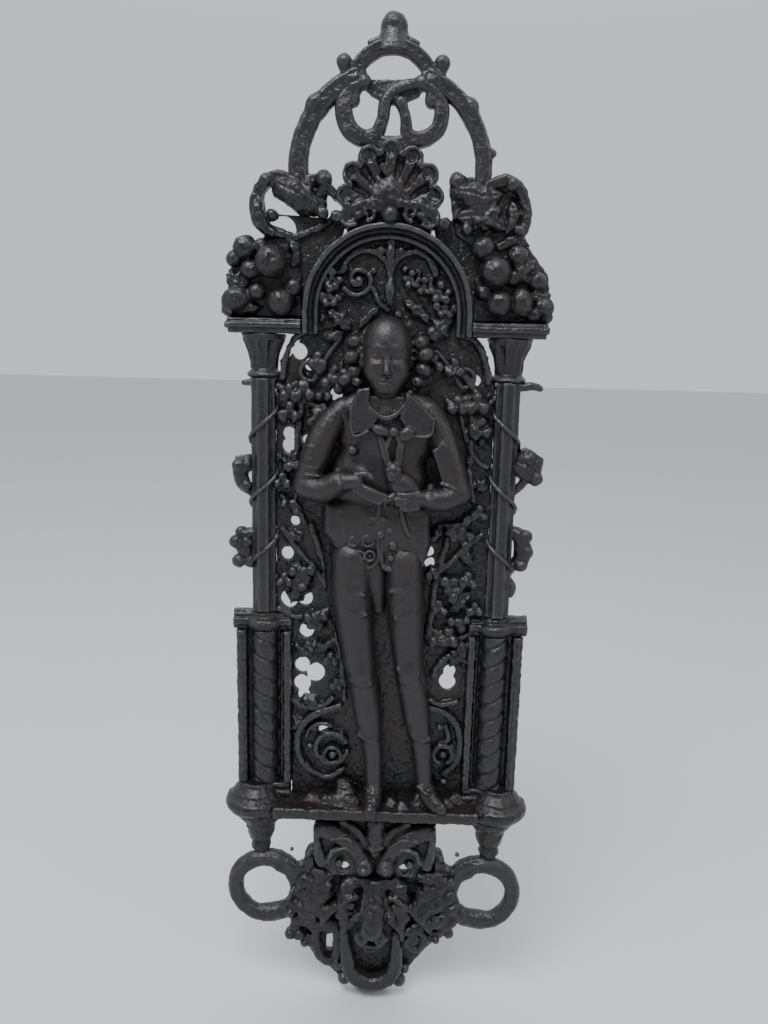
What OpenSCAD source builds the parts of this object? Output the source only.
// Cast-iron relief plaque: a boy with a rabbit in a columned niche, under a pierced crest
// and over a scrolled apron with a grotesque mask. One casting, given here member by member.
// +Z is up, the face looks along -Y, and the back lies in the plane y = 0.
// The members are drawn on a board: x to the right, y up, and z out towards the viewer.

/* [Plate] */
// Thickness of the pierced web that carries the relief
web_t = 3; // [2.5:0.5:4.5]
// Height of the ledge floor above the lowest point
floor_z = 122; // [115:1:147]
// Iron left between the figure's skin and its cored hollow
core_wall = 4; // [3:0.5:6]

/* [Piers and columns] */
// Distance from the centre line to each column's axis
column_x = 59.5; // [57:0.5:72]
// Radius of the column shafts
column_r = 5.5; // [4.5:0.5:7]
// Length of the column shafts
column_h = 118; // [98:1:142]
// Height of the roped piers
pier_h = 93; // [77:1:112]
// Radius of the roped half drums
rope_r = 7; // [6:0.5:9]
// Height of the pier caps
pier_cap_h = 10; // [8:1:13]
// Height of the capitals
capital_h = 21; // [17:1:26]
// Height of the entablature blocks
entab_h = 7; // [5:0.5:9]
// Projection of the entablature blocks
entab_d = 13; // [11:1:16]

/* [Canopy] */
// Outer radius of the canopy arch
canopy_r = 40; // [33:1:48]
// Projection of the canopy arch
canopy_d = 13; // [11:1:16]
// Straight length under each end of the arch
canopy_leg = 11; // [8:1:14]
// Radius of the shell
shell_r = 27; // [22:1:32]

/* [Crest] */
// Radius of the broken arch on its centre line
crest_arch_r = 43; // [38:1:48]
// Width of the broken arch
crest_arch_w = 9; // [7:0.5:11]
// Depth of the open crest work
crest_d = 6.5; // [5.5:0.5:8]
// Outer radius of the hanging eye's ring
eye_r = 22; // [19:0.5:25]
// Width of the hanging eye's ring
eye_w = 6.5; // [5:0.5:8]
// Radius of each crest scroll on its centre line
scroll_r = 11; // [9:0.5:12]
// Radius of the ball on top
knob_r = 5.5; // [4.5:0.1:7]

/* [Ledge] */
// How far the ledge stands out from the back
ledge_d = 20; // [18:1:26]
// Thickness of the ledge
ledge_t = 6; // [4:0.5:8]

/* [Apron] */
// Radius of each side loop on its centre line
loop_r = 17.5; // [14.5:0.5:20]
// Width of the side loops
loop_w = 10.5; // [8.5:0.5:12]
// Depth of the side loops
loop_d = 7.5; // [6.5:0.5:9]
// Length of each turned pendant
pendant_h = 26; // [21.5:0.5:31.5]
// Radius of the ring under the mask's mouth, on its centre line
beard_r = 13.5; // [11:0.5:16]

/* [Figure] */
// Height of the boy from the ledge to the crown of the head
figure_h = 251; // [209:1:265]

/* [Hidden] */
$fn = 48;

iron = "#4a4d55";
worn_iron = "#5d6068";
rust_iron = "#5a4a44";

// Heights, from the ledge up
base_h = 8;
base_drop = 8;
cap_z = floor_z + pier_h;
vine_z = cap_z - 90;
shaft_z = cap_z + pier_cap_h;
neck_z = shaft_z + column_h;
entab_z = neck_z + capital_h;
lintel_z = entab_z + entab_h;
canopy_z = entab_z + canopy_leg;
shell_z = canopy_z + canopy_r;
fan_z = shell_z + 10;
crest_z = shell_z + 24;
eye_z = crest_z + 34;
scroll_z = eye_z - 10;
arch_foot_z = crest_z - 7;
heap_top = shell_z - 10;

// Widths
canopy_in = canopy_r - 7;
capital_r = 11;
neck_r = column_r + 2;
pier_out = column_x + 14;
pier_in = column_x - 14;
entab_out = column_x + 17;
web_x = column_x - column_r;
base_r = 16.5;
base_x = column_x + 5;
base_top_r = 12.5;
base_ahead = 4;
ledge_x = base_x - 11;
ledge_under = floor_z - ledge_t - 4;
loop_x = column_x - 0.5;
pendant_x = column_x + 3;
loop_out = loop_r + loop_w / 2;
loop_z = floor_z - base_drop - pendant_h - loop_out;
apron_x = loop_x - loop_r + 1;
corbel_x = 33;
corbel_foot = floor_z - 47;
sag_r = (loop_x - 6 - corbel_x) / 2;
sag_x = corbel_x + sag_r;
sag_z = floor_z - 36.5;
mask_z = loop_z - 23.5;
mouth_z = beard_r + 9;

// Small sizes
heap_h = 34;
rose_at = [29, vine_z + 29];
rose_r = 14;
rose_w = 3.5;
scroll_x = scroll_r + 0.5;
ball_r = 3.2;
ball_at = [eye_r, eye_z + 12];
boss_r = 3.6;
strand_step = 11;
corbel_hole = [16.5, floor_z - 42.5];
corbel_hole_r = 3.5;
fig = figure_h / 248;
big = 1200;
soft = 8;
fine = 6;

// ---- Pattern maker's forms ----

// Turns a member drawn on the board to stand with its face along -Y
module stand() rotate([90, 0, 0]) children();

// Right-hand member, or its mirror image on the left
module side(s) mirror([s < 0 ? 1 : 0, 0, 0]) children();

// Section of a bar: straight sides and a half-round top
module bar_section(w, h) intersection() {
    union() {
        translate([-w / 2, 0]) square([w, max(h - w / 2, 0.01)]);
        translate([0, h - w / 2]) circle(d = w);
    }
    translate([-w / 2, 0]) square([w, h]);
}

// Bar bent to radius r, from angle a0 to angle a1
module bar_arc(r, w, h, a0, a1)
    rotate([0, 0, a0]) rotate_extrude(angle = a1 - a0) translate([r, 0]) bar_section(w, h);

// Straight bar from p to q
module bar_line(p, q, w, h)
    translate([p.x, p.y, 0]) rotate([0, 0, atan2(q.y - p.y, q.x - p.x)])
        rotate([90, 0, 90]) linear_extrude(norm(q - p)) bar_section(w, h);

// Half-turned body about a standing axis, flat at the back
module half_turned() rotate([0, 0, 180]) rotate_extrude(angle = 180) children();

// Fully turned body about a standing axis that far in front of the back, cut flat at the back
module turned_ahead(ahead) difference() {
    translate([0, -ahead, 0]) rotate_extrude() children();
    translate([-big / 2, 0, -big / 2]) cube(big);
}

// Ball of a soft form, flattened to k of its depth
module lump(p, r, k = 1, $fn = soft) hull() translate([p.x, p.y, p.z]) scale([1, 1, k]) sphere(r);

// Limb through a list of [x, y, z, radius]
module limb(points, $fn = soft)
    for (i = [1:len(points) - 1]) hull() for (q = [points[i - 1], points[i]])
        translate([q[0], q[1], q[2]]) sphere(q[3]);

// Vine, tendril or thin moulding
module stem(points) limb(points, $fn = fine);

// Keeps what stands above height h of the board
module above(h = web_t) intersection() {
    children();
    translate([-big / 2, -big / 2, h]) cube(big);
}

// Berries heaped in a hanging bunch, n rows tall
module grapes(p, r, rows)
    for (row = [0:rows - 1], k = [0:rows - 1 - row]) hull()
        translate([p.x + (k - (rows - 1 - row) / 2) * r * 1.7, p.y - row * r * 1.5, p.z + row % 2])
            sphere(r, $fn = fine);

// Pointed leaf from p, at angle a, with side lobes
module leaf(p, a, length, h = 5)
    translate([p.x, p.y, 0]) rotate([0, 0, a]) {
        stem([[0, 0, h - 2, 2], [length * 0.45, 0, h - 3, length * 0.24], [length, 0, h - 2, 1.2]]);
        for (s = [-1, 1]) stem([[length * 0.2, 0, h - 3, length * 0.16],
                                [length * 0.5, s * length * 0.38, h - 3, length * 0.13]]);
    }

// ---- Crest ----

// Round seats that neighbours are cut to, so that the members meet face to face
module seat(x, y, r) translate([x, y, -1]) cylinder(r = r, h = 60);
module eye_seat() seat(0, eye_z, eye_r);
module scroll_seat(s) seat(s * scroll_x, scroll_z, scroll_r + eye_w / 2);
module shell_seat() seat(0, fan_z, shell_r);
module canopy_seat() seat(0, canopy_z, canopy_r);
module loop_seat() seat(loop_x, loop_z, loop_out);
module mouth_seat() seat(0, mouth_z, beard_r + 4.25);

module finial_knob() color(iron) difference() {
    translate([0, 0, eye_z + eye_r - 6]) half_turned() {
        polygon([[0, 0], [9, 0], [8, 5], [6.5, 9], [knob_r, 12.5], [0, 12.5]]);
        translate([0, 12.5]) intersection() {
            circle(knob_r);
            translate([0, -knob_r]) square(2 * knob_r);
        }
    }
    stand() eye_seat();
}

module crest_ring() color(worn_iron) stand() {
    difference() {
        translate([0, eye_z, 0]) bar_arc(eye_r - eye_w / 2, eye_w, crest_d, -10, 190);
        for (s = [-1, 1]) scroll_seat(s);
    }
    for (s = [-1, 1]) translate([s * ball_at.x, ball_at.y, 0]) {
        cylinder(r = ball_r, h = 4);
        translate([0, 0, 4]) sphere(ball_r);
    }
}

// Two C scrolls back to back, with a small link where they cross and a solid floor under the eye
module crest_scrolls() color(worn_iron) stand() difference() {
    union() {
        for (s = [-1, 1]) translate([s * scroll_x, scroll_z, 0])
            bar_arc(scroll_r, eye_w, crest_d, s > 0 ? -150 : 30, s > 0 ? 150 : 330);
        translate([0, scroll_z, 0]) bar_arc(7, 4, crest_d + 1, 90, 400);
        translate([-8, scroll_z + 4, 0]) cube([16, eye_z - scroll_z - 1, web_t]);
    }
    shell_seat();
}

module arch_bar() color(worn_iron) stand() difference() {
    translate([0, crest_z, 0]) bar_arc(crest_arch_r, crest_arch_w, crest_d, -12, 66);
    translate([0, arch_foot_z - 20, -1]) cube([big, 20, 30]);
    eye_seat();
    scroll_seat(1);
    seat(ball_at.x, ball_at.y, ball_r);
}

// Fan of ribs from the keystone, each ending in a curled lobe
module shell_crest() color(iron) stand() difference() {
    intersection() {
        above(0) {
            for (a = [0:30:180]) translate([0, fan_z, 0]) rotate([0, 0, a])
                limb([[8, 0, 3, 2], [shell_r - 6.5, 0, 3.4, 5]]);
            translate([0, fan_z, -1]) cylinder(r = shell_r - 4, h = 4);
        }
        shell_seat();
    }
    canopy_seat();
    seat(0, shell_z + 3, boss_r, $fn = 24);
}

module keystone_boss() color(worn_iron) stand() difference() {
    translate([0, shell_z + 3, 0]) {
        cylinder(r = boss_r, h = canopy_d - 1);
        translate([0, 0, canopy_d - 1]) sphere(boss_r);
    }
    canopy_seat();
}

// Leaf that rolls outwards, with a curled end and two lobes
module acanthus() color(iron) stand() difference() {
    above(0) {
        limb([[26, shell_z + 13, 4, 4.2], [34, shell_z + 15, 5, 4], [42, shell_z + 9, 6, 4.6],
              [49.5, shell_z + 6.5, 6, 4], [55, shell_z + 11, 5, 4.2], [60, shell_z + 5, 5, 4.4],
              [62.5, shell_z - 3, 4, 4.8], [57.5, shell_z - 8, 4, 4.4]]);
        limb([[43, shell_z + 14.5, 5, 4.1], [50.5, shell_z + 17, 5, 4.2], [58, shell_z + 15, 4, 3.2]]);
        limb([[30, shell_z + 3.5, 3, 4.6], [38, shell_z + 2.5, 3, 4.7], [45, shell_z + 1.5, 3, 4.1]]);
        lump([33, shell_z + 19.4, 5], 4.6);
    }
    canopy_seat();
    shell_seat();
    translate([0, heap_top - big, -1]) cube(big);
    translate([0, 0, -1]) linear_extrude(web_t + 1) spandrel_outline();
    translate([crest_arch_r - crest_arch_w / 2 - 1, arch_foot_z, -1]) cube([crest_arch_w + 1, 40, 30]);
}

// ---- Canopy ----

module canopy_section() translate([canopy_in, 0])
    polygon([[0, 0], [7, 0], [7, canopy_d - 2], [5.8, canopy_d], [4.4, canopy_d],
             [3.4, canopy_d - 2.5], [2.4, canopy_d - 5], [1.6, canopy_d - 4], [0, canopy_d - 4.5]]);

module canopy_arch() color(worn_iron) stand() translate([0, canopy_z, 0]) {
    rotate_extrude(angle = 180) canopy_section();
    rotate([90, 0, 0]) for (s = [0, 1]) mirror([s, 0, 0]) linear_extrude(canopy_leg) canopy_section();
}

module tympanum_tracery() color(iron) stand() intersection() {
    above() {
        for (s = [-1, 1]) {
            stem([for (a = [0:36:180]) [s * 13 + 10.5 * cos(a), canopy_z + 17 + 10.5 * sin(a), 4.5, 1.8]]);
            grapes([s * 25, canopy_z + 14, 6], 2.6, 2);
            grapes([s * 24, canopy_z + 3, 6], 2.6, 2);
            leaf([s * 20, canopy_z - 7, 0], s > 0 ? 60 : 120, 13, 8);
        }
        stem([for (a = [-180:45:90]) let (r = 5 - a / 90)
            [-14 + r * cos(a), canopy_z + 15 + r * sin(a), 6, 1.6]]);
        stem([[0, canopy_z + 30, 4, 2], [0, canopy_z + 12, 5, 2.2], [0, canopy_z + 7, 6, 3]]);
        lump([13, canopy_z + 14, 3], 7, 0.5);
    }
    seat(0, canopy_z, canopy_in);
}

module spandrel_outline() difference() {
    polygon([[20, shell_z + 2], [column_x - 7, shell_z + 4], [column_x + 1, shell_z - 8],
             [column_x + 11, lintel_z + 28], [entab_out, lintel_z + 8], [entab_out, lintel_z],
             [canopy_in, lintel_z]]);
    translate([0, canopy_z]) circle(canopy_r);
    translate([0, canopy_z - big]) square([canopy_r, big]);
    translate([0, fan_z]) circle(shell_r);
    translate([column_x - 9, shell_z - 3]) circle(6.5);
}

module spandrel_plates() color(rust_iron) stand()
    for (s = [-1, 1]) side(s) linear_extrude(web_t) spandrel_outline();

// Pomegranate, pears and leaves heaped over the entablature
module fruit_heap(big_fruit, small_fruit) color(iron) stand() difference() {
    above() translate([column_x, lintel_z, 0]) scale([1, (heap_top - lintel_z) / heap_h, 1]) {
        lump(big_fruit, 8, $fn = 12);
        lump(small_fruit, 6.5, $fn = 12);
        lump([8.5, 27, 5], 6, 0.8);
        lump([6.5, 17, 5], 6.5, 0.8);
        lump([12, 8, 5], 7, 0.7);
        lump([2.5, 4, 5], 6);
        limb([[-13.5, 20, 4, 6], [0.5, 10, 4, 7]]);
        limb([[-13.5, 3, 4, 5], [10.5, 3, 4, 4]]);
        limb([[-9.5, 31, 4, 3], [-1.5, 30, 5, 3.5], [6.5, 31, 4, 2.5]]);
    }
    canopy_seat();
    translate([0, 0, -1]) cube([big, lintel_z, 60]);
    translate([0, heap_top, -1]) cube([big, 60, 60]);
}

module entablature() color(iron) stand() translate([canopy_r, entab_z, 0]) {
    cube([entab_out - canopy_r, entab_h - 2, entab_d]);
    translate([0, entab_h - 2, 0]) cube([entab_out - canopy_r, 2, entab_d - 2]);
}

// ---- Columns and piers ----

module capital() color(iron) translate([column_x, 0, neck_z]) half_turned()
    polygon([[0, 0], [neck_r, 0], [neck_r + 1, 1.5], [neck_r, 3], [column_r + 0.5, 4.5],
             [column_r + 1, capital_h * 0.5], [column_r + 3, capital_h * 0.8],
             [capital_r, capital_h], [0, capital_h]]);

// D-shaped shaft with reeds on its face
module column() color(worn_iron) translate([column_x, 0, shaft_z]) linear_extrude(column_h) {
    difference() {
        union() {
            translate([-column_r, -web_t]) square([2 * column_r, web_t]);
            translate([0, -web_t]) circle(column_r);
        }
        translate([-20, 0]) square([40, 20]);
        translate([0, -0.01]) circle(column_r - 3);
    }
    for (a = [-60:40:60]) translate([0, -web_t]) rotate([0, 0, a])
        translate([0, -column_r]) circle(1.1, $fn = 16);
}

// Tendril wound round the shaft, and the bunches that hang outside it
module column_vine() color(iron) stand() difference() {
    above(0) {
        for (turn = [0, 1, 2]) stem([for (t = [0:0.25:1])
            [column_x + (column_r + 1) * cos(180 * t), shaft_z + column_h * (0.2 + 0.27 * turn) + 16 * t,
             web_t + column_r * sin(180 * t), 1.7]]);
        for (up = [0.28, 0.58]) translate([column_x + column_r + 2, shaft_z + column_h * up, 0]) {
            stem([[-3, 4, 3, 2.6], [8, 6, 4, 2.6]]);
            grapes([5, 1, 4], 3.6, 2);
            grapes([5, -5, 4], 3.2, 1);
        }
        stem([[column_x + column_r - 1, neck_z - 3, 4, 2.4], [column_x + column_r + 8, neck_z - 4, 4, 1.8]]);
    }
    translate([column_x, 0, web_t]) rotate([-90, 0, 0]) cylinder(r = column_r + 0.6, h = big, $fn = 24);
    translate([column_x - column_r, 0, -1]) cube([2 * column_r, big, web_t + 1]);
}

module pier_cap() color(iron) {
    translate([column_x, 0, cap_z]) half_turned()
        polygon([[0, 0], [rope_r + 2, 0], [rope_r + 4, 1.5], [rope_r + 5, 4], [rope_r + 4, 6],
                 [rope_r + 1, 7], [column_r + 1, pier_cap_h], [0, pier_cap_h]]);
    difference() {
        stand() translate([pier_in, cap_z, 0]) cube([pier_out + 2 - pier_in, pier_cap_h, 7]);
        translate([column_x, 0, cap_z - 1]) cylinder(r = column_r + 1, h = 20);
    }
}

// Three-strand rope, cut flat at the back
module twisted_pier() color(worn_iron) translate([column_x, -web_t, 0]) intersection() {
    translate([0, -1, floor_z + base_h])
        linear_extrude(pier_h - base_h, twist = 360 * (pier_h - base_h) / (3 * strand_step), slices = 18)
            for (k = [0, 120, 240]) rotate([0, 0, k])
                translate([rope_r * 0.45, 0]) circle(rope_r * 0.55, $fn = fine);
    translate([-big / 2, -big, 0]) cube(big);
}

module pier_frame() color(iron) stand() translate([0, floor_z + base_h, 0]) {
    tall = pier_h - base_h;
    translate([pier_in, 0, 0]) cube([pier_out - pier_in, tall, web_t]);
    translate([pier_out - 5, 0, web_t]) cube([5, tall, 6]);
    translate([pier_in, 0, web_t]) cube([3.5, tall, 7]);
}

module base_turning() translate([base_x, 0, floor_z - base_drop]) turned_ahead(base_ahead)
    polygon([[0, 0], [base_top_r, 0], [base_r - 2, 1.5], [base_r, 5], [base_r - 1, 8.5],
             [base_r - 4, 10.5], [rope_r + 3, 12], [rope_r + 1, base_drop + base_h], [0, base_drop + base_h]]);

module pier_base() color(iron) {
    base_turning();
    difference() {
        stand() translate([pier_in, floor_z, 0]) cube([pier_out - pier_in, base_h, 8]);
        translate([base_x, -base_ahead, floor_z - 1]) cylinder(r = rope_r + 0.5, h = 20);
    }
}

// ---- Niche ----

// Open places in the vine work, as [x, height over the vines' foot, radius]
left_piercings = [[-42, 231, 4], [-24, 211, 3], [-47, 184, 3.6], [-47, 190, 3.6], [-38, 188, 2.4],
    [-44, 147, 2.2], [-48, 130, 3], [-47, 106, 4.5], [-39, 107, 4.5], [-38, 89, 4],
    [-40, 70, 4], [-40, 60, 4.5], [-33, 66, 5], [-39, 53, 3.5], [-29, 36, 3.5]];
right_piercings = [[24, 133, 2.6], [24, 127, 2.6], [36, 63, 4.5], [37, 69, 3], [44, 219, 2.5]];

// Outline of the hollow cored out behind the boy
module core_outline() scale([fig, fig]) polygon([[-4, 36], [-11, 56], [-15, 76], [-20, 100], [-22, 126],
    [-24, 150], [-20, 190], [-14, 201], [14, 201], [20, 190], [18, 165], [16, 150], [16, 126], [19.5, 98],
    [20.5, 74], [24, 54], [25, 38], [22, 36], [15.5, 54], [10.5, 74], [7, 98], [3, 112], [-4, 112], [-6, 98],
    [-4.5, 72], [-2, 54]]);

module niche_outline() {
    polygon([[-pier_in, floor_z], [pier_in, floor_z], [pier_in, shaft_z], [web_x, shaft_z],
             [web_x, neck_z], [canopy_r, entab_z], [-canopy_r, entab_z], [-web_x, neck_z],
             [-web_x, shaft_z], [-pier_in, shaft_z]]);
    translate([-canopy_in, entab_z]) square([2 * canopy_in, canopy_leg]);
    translate([0, canopy_z]) circle(canopy_in);
}

module niche_back() color(rust_iron) stand() linear_extrude(web_t) difference() {
    niche_outline();
    for (hole = concat(left_piercings, right_piercings))
        translate([hole[0], vine_z + hole[1]]) circle(hole[2]);
    translate([0, floor_z]) core_outline();
}

// A long stem up the niche, with branches, leaves and hanging grapes
module left_grapevine() color(iron) stand() difference() {
    above() translate([0, vine_z, 0]) {
        stem([[-20, 26, 4, 2.2], [-23, 60, 4, 2.2], [-29, 95, 4, 2.2], [-34, 122, 4, 2.2], [-38, 150, 4, 2]]);
        stem([[-30, 100, 4, 1.8], [-38, 120, 4, 1.8], [-44, 135, 4, 1.8]]);
        stem([[-44, 175, 4, 2], [-43, 196, 4, 1.8], [-42, 207, 4, 1.8]]);
        stem([[-50, 214, 4, 1.8], [-38, 208, 4, 2], [-30, 202, 4, 1.8]]);
        leaf([-36, 80, 0], 20, 13, 6);
        leaf([-44, 80, 0], -25, 14, 6);
        leaf([-42, 120, 0], 100, 12, 6);
        leaf([-49, 168, 0], 20, 12, 6);
        leaf([-36, 196, 0], 200, 12, 6);
        grapes([-46, 152, 5], 3, 2);
        grapes([-43, 118, 5], 3.4, 2);
        grapes([-34, 103, 5], 2.4, 2);
        grapes([-24, 219, 6], 3.4, 2);
    }
    seat(-rose_at.x, rose_at.y, rose_r + rose_w / 2);
    translate([0, floor_z, -1]) linear_extrude(big) scale([fig, fig]) figure_shadow();
}

module right_grapevine() color(iron) stand() difference() {
    above() translate([0, vine_z, 0]) {
        stem([[25, 88, 4, 2.2], [27, 110, 4, 2.2], [34, 132, 4, 2.2], [36, 148, 4, 1.8]]);
        stem([[32, 128, 4, 1.8], [42, 136, 4, 1.8], [50, 146, 4, 1.8]]);
        stem([[44, 160, 4, 1.8], [41, 180, 4, 1.8], [42, 200, 4, 1.8]]);
        leaf([36, 75, 0], 80, 14, 6);
        leaf([35, 100, 0], 50, 14, 6);
        leaf([44, 170, 0], -20, 9, 6);
        leaf([34, 208, 0], 0, 13, 6);
        grapes([36, 118, 5], 3.4, 2);
        grapes([34, 152, 5], 3, 2);
        grapes([31, 90, 5], 3.4, 2);
        grapes([40, 206, 5], 3.4, 2);
    }
    translate([0, floor_z, -1]) linear_extrude(big) scale([fig, fig]) figure_shadow();
}

// Plain outline of the boy, kept clear of the vines
module figure_shadow() polygon([[-18, 0], [-18, 40], [-20, 75], [-29, 105], [-33, 145], [-46, 160],
    [-40, 185], [-31, 203], [-12, 212], [-24, 222], [-22, 240], [0, 250], [20, 240], [22, 224],
    [12, 212], [29, 203], [37, 185], [44, 165], [42, 150], [23, 148], [22, 120], [23, 75],
    [32, 40], [32, 0]]);

// Straight rod that ends in a ring
module rod_ring() color(worn_iron) stand() translate([0, 0, web_t]) {
    bar_line([23, entab_z - 1], [36, neck_z + 6], 2.6, 4);
    translate([38, neck_z + 2, 0]) bar_arc(4.4, 2.4, 4, 120, 480);
}

// Large C scroll round a rose
module rose_scroll() color(iron) stand() translate([rose_at.x, rose_at.y, web_t]) difference() {
    union() {
        bar_arc(rose_r, rose_w, 5, -60, 200);
        translate([-5, -12, 0]) bar_arc(6.5, 3, 5, 0, 350);
        translate([-5, -12, 0]) cylinder(r = 3, h = 3.5);
        translate([-5, -12, 3]) sphere(3);
    }
    translate([-rose_at.x, 0, -1]) cube([14, 60, 30]);
}

// The right-hand scroll is cut back where the boy's leg stands in front of it
module scroll_behind_leg() color(iron) difference() {
    rose_scroll();
    stand() translate([0, floor_z, -1]) linear_extrude(big) scale([fig, fig]) figure_shadow();
}

// Shelf under the boy's feet: a flat floor, a rounded edge and a hollow under it
module ledge_section() translate([0, floor_z]) mirror([1, 0]) {
    translate([0, -ledge_t]) square([ledge_d - ledge_t / 2, ledge_t]);
    translate([ledge_d - ledge_t / 2, -ledge_t / 2]) circle(d = ledge_t);
    difference() {
        translate([0, -ledge_t - 4]) square([ledge_d - 6, 4.5]);
        translate([ledge_d - 6, -ledge_t - 4]) circle(3.5);
    }
}

module platform() color(iron) difference() {
    rotate([90, 0, 90]) translate([0, 0, -ledge_x]) linear_extrude(2 * ledge_x) ledge_section();
    for (s = [-1, 1]) side(s) base_turning();
}

// ---- Boy ----

// The forms are set out from the ledge floor and grow with the boy's height
module posed() translate([0, floor_z, 0]) scale([fig, fig, fig]) children();

module head_form() posed() {
    hull() {
        translate([-1, 236, 10]) scale([1, 1.15, 1]) sphere(10, $fn = 14);
        translate([-1, 222, 13]) sphere(7.5, $fn = 12);
        translate([-1, 215, 16]) sphere(3.6, $fn = soft);
    }
    hull() { lump([-1, 230, 20], 1.5); lump([-1, 224.5, 22.5], 1.8); }
    limb([[-1, 216, 9, 6], [-1, 204, 7, 7]]);
    for (s = [-1, 1]) {
        lump([-1 + s * 4, 230, 17.5], 2.4, 0.7);
        lump([-1 + s * 5, 222, 16.5], 3, 0.7);
    }
    hull() for (s = [-1, 1]) lump([-1 + s * 2, 218.4, 19], 1.1);
}

module hair_form() posed() {
    hull() {
        translate([-1, 238, 6]) scale([1, 0.95, 0.9]) sphere(11.5, $fn = 14);
        lump([-1, 240, 11], 8);
    }
    for (s = [-1, 1]) {
        for (k = [0:3]) lump([-1 + s * (12.5 + 1.5 * (k % 2)), 236 - 5.5 * k, 9 + k % 2], 4, $fn = fine);
        lump([-1 + s * 18, 222, 7], 4, $fn = fine);
        lump([-1 + s * 20, 229, 7], 3.5, $fn = fine);
    }
}

module collar_form() posed() {
    for (s = [-1, 1]) hull() {
        lump([s * 7, 211, 13], 3);
        lump([s * 15, 208, 12], 3.5);
        lump([s * 17, 194, 15], 2.5);
        lump([s * 5, 194, 18], 2);
    }
    stem([[-12, 212, 12, 2.4], [-7, 203, 16, 2.2], [0, 199, 18, 2.2], [7, 203, 16, 2.2], [12, 212, 12, 2.4]]);
    for (p = [[-4, 194, 19], [5, 195, 20], [10, 192, 19], [3, 190, 20]]) lump(p, 3.4, 0.8, $fn = fine);
}

module doublet_form(t = 0) posed() {
    hull() {
        for (s = [-1, 1]) {
            lump([s * 20, 201, 7], 7 - t);
            lump([s * 16, 175, 9], 9 - t);
        }
        lump([0, 195, 9], 10 - t);
    }
    hull() {
        for (s = [-1, 1]) lump([s * 14 - 2, 172, 8], 9 - t);
        for (s = [-1, 1]) lump([s * 17 - 5, 145, 7], 9 - t);
        lump([-8, 133, 8], 8 - t);
        lump([6, 133, 8], 8 - t);
    }
}

module sleeve_form(s) posed() {
    limb([[s * 23, 199, 9, 8], [s * 31, 178, 11, 8], [s * 37, 162, 13, 7]]);
    if (s < 0) {
        limb([[-37, 161, 13, 6.5], [-22, 166, 17, 6.2], [-14, 169, 19, 5]]);
        limb([[-13, 171, 20, 3.4], [-6, 173, 21, 2]]);
        limb([[-13, 168, 19, 3.6], [-2, 164, 21, 2.4]]);
        limb([[-15, 173, 17, 3], [-15, 164, 17, 3]]);
    } else {
        limb([[37, 161, 13, 6.2], [22, 161, 16, 5.6], [13, 162, 18, 4.6]]);
        limb([[13, 163, 19, 3.6], [5, 162, 20, 2.6]]);
        limb([[22, 166, 15, 3], [22, 156, 15, 3]]);
    }
}

module rabbit_form() posed() {
    hull() { lump([4, 173, 18], 5.5); lump([6, 181, 16], 4.5); }
    hull() { lump([4, 170, 18], 4); lump([12, 167, 15], 5); }
    limb([[3, 178, 19, 2.4], [-2, 188, 17, 2.6], [-5, 194, 16, 1.4]]);
    limb([[6, 178, 18, 2.4], [8, 188, 17, 2.4], [9, 195, 15, 1.4]]);
}

module leg_form(s, t = 0) posed() {
    if (s < 0) limb([[-15, 128, 7, 10 - t], [-13, 98, 7.5, 9.5 - t], [-9.5, 72, 9, 7.5 - t],
                     [-6.5, 52, 8.5, 7 - t], [-3, 30, 10, 5.3 - t], [-2, 12, 13, 4.6 - t]]);
    else limb([[12, 128, 7, 9.5 - t], [13.5, 98, 7.5, 8.5 - t], [16, 74, 9, 7.5 - t],
               [20, 54, 8, 7.2 - t], [23, 34, 8.5, 5.5 - t], [25, 12, 10, 4.6 - t]]);
}

module shoe_forms() posed() {
    limb([[-2, 10, 13, 4.8], [-2.5, 4, 18, 4.6], [-3, 1.5, 22, 4]]);
    limb([[25, 10, 10, 4.8], [29, 4, 14, 4.8], [34, 2.5, 18, 3.6]]);
}

// Everything in front of the layer that is being trimmed
module hollow() intersection() {
    union() {
        doublet_form(core_wall);
        leg_form(-1, core_wall);
        leg_form(1, core_wall);
    }
    translate([0, floor_z, -1]) linear_extrude(big) core_outline();
}

module on_floor() intersection() {
    children();
    translate([-big / 2, floor_z, -1]) cube([big, big, big]);
}

module boy_head() color(worn_iron) stand() above() difference() {
    head_form();
    collar_form();
}
module boy_hair() color(iron) stand() above() difference() {
    hair_form();
    head_form();
    collar_form();
}
module boy_collar() color(worn_iron) stand() above() difference() {
    collar_form();
    rabbit_form();
}
module boy_doublet() color(iron) stand() above() difference() {
    doublet_form();
    head_form();
    collar_form();
    for (s = [-1, 1]) sleeve_form(s);
    rabbit_form();
    hollow();
}
module sleeve(s) color(worn_iron) stand() above() difference() {
    sleeve_form(s);
    collar_form();
    rabbit_form();
}
module rabbit() color(iron) stand() above() rabbit_form();
module leg(s) color(iron) stand() above() on_floor() difference() {
    leg_form(s);
    doublet_form();
    shoe_forms();
    if (s < 0) leg_form(1);
    hollow();
}
module boy_shoes() color(rust_iron) stand() above() on_floor() shoe_forms();

// ---- Apron ----

module pendant() color(iron) difference() {
    translate([pendant_x, 0, floor_z - base_drop - pendant_h]) turned_ahead(base_ahead / 2)
        polygon([[0, -1], [4, -1], [5.2, 2], [5.2, 4], [4.6, 5.5], [6.6, 8], [7.4, pendant_h / 2 - 1],
                 [8, pendant_h - 10], [base_top_r - 0.5, pendant_h - 5], [base_top_r, pendant_h - 2],
                 [base_top_r - 1.5, pendant_h], [0, pendant_h]]);
    stand() loop_seat();
}

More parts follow.
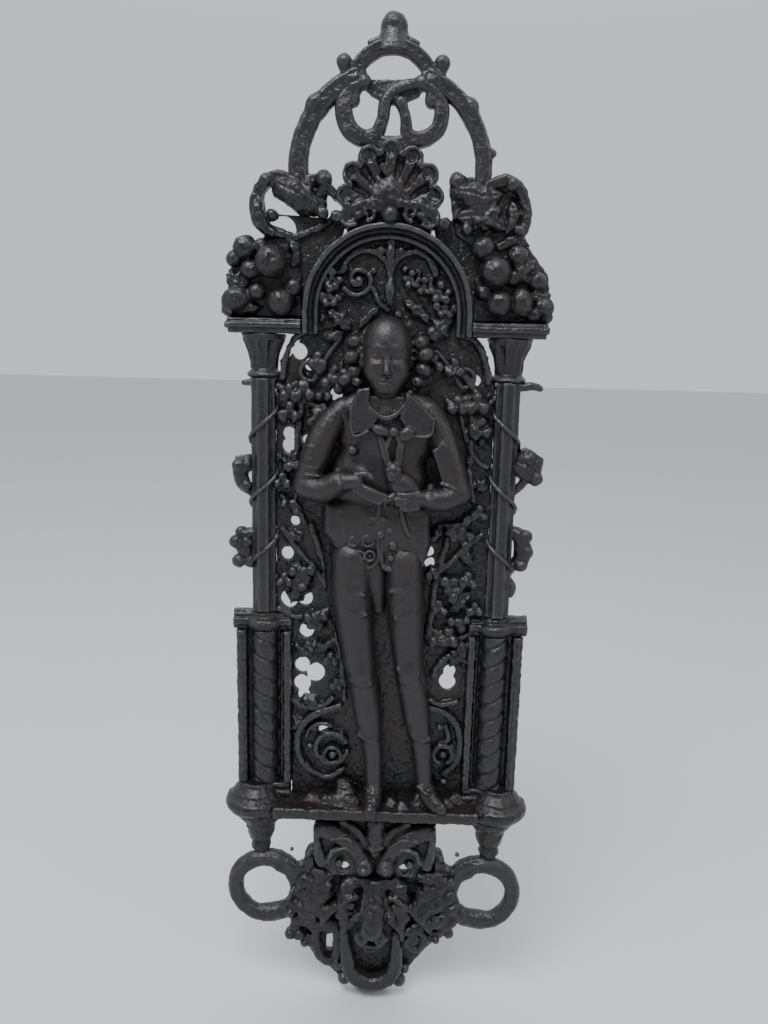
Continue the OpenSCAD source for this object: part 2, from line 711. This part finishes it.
// Pair of brow volutes under the ledge, with two bosses where they meet
module corbel_volutes() color(worn_iron) stand() difference() {
    above() {
        for (s = [-1, 1]) {
            limb([for (a = [15:25:190]) [s * (19 + 13 * cos(180 - a)), floor_z - 38 + 18 * sin(a), 7, 5]]);
            limb([for (a = [40:35:180]) [s * (22 + 7 * cos(180 - a)), floor_z - 40 + 9 * sin(a), 5, 2.5]]);
            lump([s * 5.2, floor_z - 38, 9], 5.2);
        }
        limb([[0, floor_z - 30, 5, 5], [0, floor_z - 14, 5, 7]]);
    }
    translate([-big / 2, ledge_under, -1]) cube(big);
    translate([-big / 2, corbel_foot - big, -1]) cube(big);
    for (s = [-1, 1]) {
        seat(s * corbel_hole.x, corbel_hole.y, corbel_hole_r, $fn = 24);
        translate([s > 0 ? corbel_x : -corbel_x - big, 0, -1]) cube(big);
    }
}

// Ring at the side, with the S bar that ties it to the corbel
module side_loop() color(worn_iron) stand() {
    translate([loop_x, loop_z, 0]) bar_arc(loop_r, loop_w, loop_d, 0, 360);
    difference() {
        translate([sag_x, sag_z, 0]) bar_arc(sag_r, loop_w - 1, loop_d - 0.5, 180, 345);
        loop_seat();
        translate([0, 0, -1]) cube([corbel_x, big, 30]);
        translate([0, 0, -1]) linear_extrude(web_t + 1) apron_outline();
    }
}

module apron_outline() polygon([[-corbel_x, ledge_under], [-corbel_x, floor_z - 30],
    [-corbel_x - 5, floor_z - 44], [-apron_x, loop_z + 8], [-apron_x, mask_z + 16], [-apron_x + 1, mask_z - 2],
    [-34, mask_z - 19], [-14, 4], [-5, 0], [5, 0], [14, 6], [30, mask_z - 14], [apron_x - 3, mask_z - 4],
    [apron_x, mask_z + 12], [apron_x, loop_z + 8], [corbel_x + 5, floor_z - 44], [corbel_x, floor_z - 30],
    [corbel_x, ledge_under]]);

module apron_plate() color(rust_iron) stand() linear_extrude(web_t) difference() {
    apron_outline();
    for (s = [-1, 1]) {
        translate([s * corbel_hole.x, corbel_hole.y]) circle(corbel_hole_r);
        translate([s * loop_x, loop_z]) circle(loop_out);
    }
    translate([-26, mask_z - 17]) square([5, 11]);
}

// Grotesque: brow stalk, cheeks, long nose and a pair of teeth over an open mouth
module mask_form() {
    limb([[0, corbel_foot + 2, 7, 4.5], [0, mask_z + 30, 9, 5], [-1, mask_z + 16, 14, 6],
          [-1, mask_z + 8, 17, 6]]);
    for (s = [-1, 1]) {
        limb([[s * 4, mask_z + 32, 6, 6], [s * 12, mask_z + 22, 7, 7], [s * 13, mask_z + 6, 7, 6.5],
              [s * 12, mask_z - 4, 6, 5]]);
        lump([-1 + s * 7, mask_z + 11, 14], 4);
        lump([-1 + s * 9, mask_z + 20, 12], 3.4);
        limb([[-1 + s * 3.5, mask_z + 3, 13, 3], [-1 + s * 3.5, mask_z - 2, 12, 2.8]]);
        lump([s * 16, mask_z + 28, 8], 4);
    }
}

module mask() color(iron) stand() difference() {
    above() mask_form();
    translate([-big / 2, corbel_foot, -1]) cube(big);
    mouth_seat();
}

// Layered leaf beside the mask, ending in berries
module lower_leaf() color(iron) stand() difference() {
    above() {
        for (k = [0:3]) limb([[17 + 3 * k, mask_z + 33 - 9 * k, 6, 5], [27 + 3 * k, mask_z + 31 - 10 * k, 8, 5],
                              [apron_x - 10 + 2 * k, mask_z + 30 - 12 * k, 6, 4.5]]);
        limb([[22, mask_z - 2, 5, 5], [27, mask_z - 8, 5, 4], [24, mask_z - 14, 5, 3.5]]);
        grapes([apron_x - 9, mask_z + 3, 5], 3.4, 2);
    }
    mask_form();
    loop_seat();
    seat(sag_x, sag_z, sag_r + loop_w / 2);
    mouth_seat();
    translate([0, corbel_foot, -1]) cube(big);
}

module beard_ring() color(worn_iron) stand() translate([0, 0, web_t]) {
    translate([0, mouth_z, 0]) bar_arc(beard_r, 8.5, 8, 170, 370);
    for (s = [-1, 1]) translate([s * (beard_r + 2), mouth_z - beard_r - 1, 0]) {
        cylinder(r = 3.4, h = 3);
        translate([0, 0, 3]) sphere(3.4);
    }
}

finial_knob();
crest_ring();
crest_scrolls();
side(-1) arch_bar();  // left_arch_bar
side(1) arch_bar();  // right_arch_bar
shell_crest();
keystone_boss();
side(-1) acanthus();  // left_acanthus
side(1) acanthus();  // right_acanthus
canopy_arch();
tympanum_tracery();
spandrel_plates();
side(-1) fruit_heap([-3.5, 24, 8], [-7.5, 7, 8]);  // left_fruit
side(1) fruit_heap([-12, 26, 8], [-6, 10, 8]);  // right_fruit
side(-1) entablature();  // left_entablature
side(1) entablature();  // right_entablature
side(-1) capital();  // left_capital
side(1) capital();  // right_capital
side(-1) column();  // left_column
side(1) column();  // right_column
side(-1) column_vine();  // left_column_vine
side(1) column_vine();  // right_column_vine
side(-1) pier_cap();  // left_pier_cap
side(1) pier_cap();  // right_pier_cap
side(-1) twisted_pier();  // left_twisted_pier
side(1) twisted_pier();  // right_twisted_pier
side(-1) pier_frame();  // left_pier_frame
side(1) pier_frame();  // right_pier_frame
side(-1) pier_base();  // left_pier_base
side(1) pier_base();  // right_pier_base
niche_back();
left_grapevine();
right_grapevine();
side(-1) rod_ring();  // left_rod_ring
side(1) rod_ring();  // right_rod_ring
side(-1) rose_scroll();  // left_rose_scroll
scroll_behind_leg();  // right_rose_scroll
platform();
boy_head();
boy_hair();
boy_collar();
boy_doublet();
sleeve(-1);  // left_sleeve
sleeve(1);  // right_sleeve
rabbit();
leg(-1);  // left_leg
leg(1);  // right_leg
boy_shoes();
side(-1) pendant();  // left_pendant
side(1) pendant();  // right_pendant
corbel_volutes();
side(-1) side_loop();  // left_loop
side(1) side_loop();  // right_loop
apron_plate();
mask();
side(-1) lower_leaf();  // left_lower_leaf
side(1) lower_leaf();  // right_lower_leaf
beard_ring();
